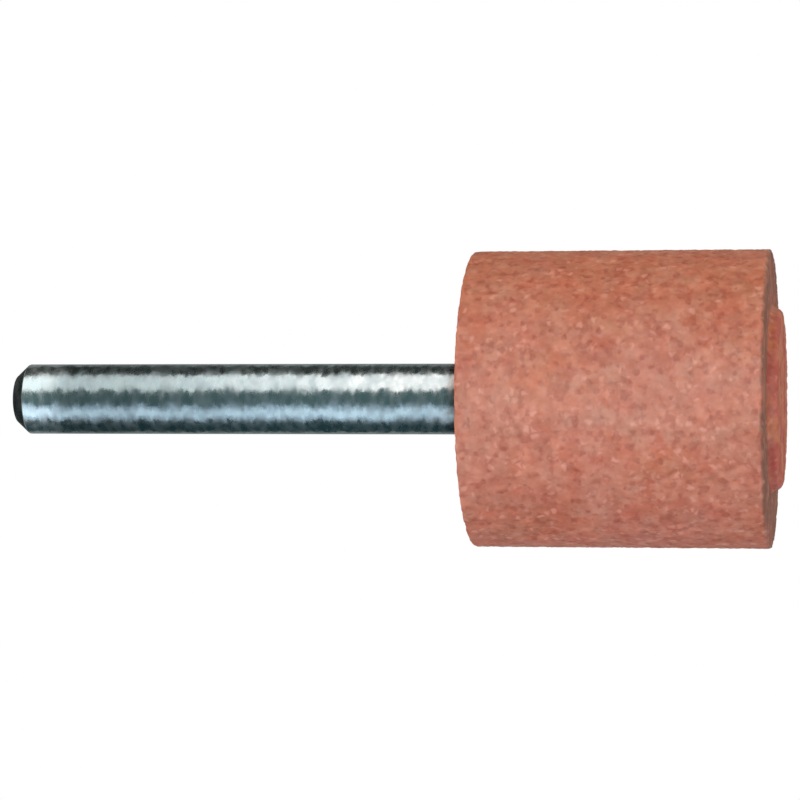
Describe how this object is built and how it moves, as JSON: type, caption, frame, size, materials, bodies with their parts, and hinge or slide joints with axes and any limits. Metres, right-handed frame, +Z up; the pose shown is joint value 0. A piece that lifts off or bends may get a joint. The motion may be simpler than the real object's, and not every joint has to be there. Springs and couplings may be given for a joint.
{
  "type": "mounted point",
  "caption": "Cylindrical mounted point: a pink abrasive cylinder with a raised centre on its free end, cemented onto a plain steel shank with a chamfered tail, for grinding with a rotary tool.",
  "frame": {"origin": "centre of the flat raised centre on the free end of the head, which the part stands on", "axes": "+Z up along the tool's axis, from the free end of the head to the tail of the shank; X and Y are free because the part is round"},
  "size_m": [0.025, 0.025, 0.0659],
  "materials": {
    "abrasive": "rough vitrified grain, pink to salmon, greyer on the free end's flat ring",
    "shank_steel": "bright ground steel with fine marks around it",
    "cement": "matt set cement, red-brown"
  },
  "bodies": {
    "root": {"abrasive_head": "abrasive", "shank": "shank_steel", "cement": "cement"}
  },
  "joints": []
}
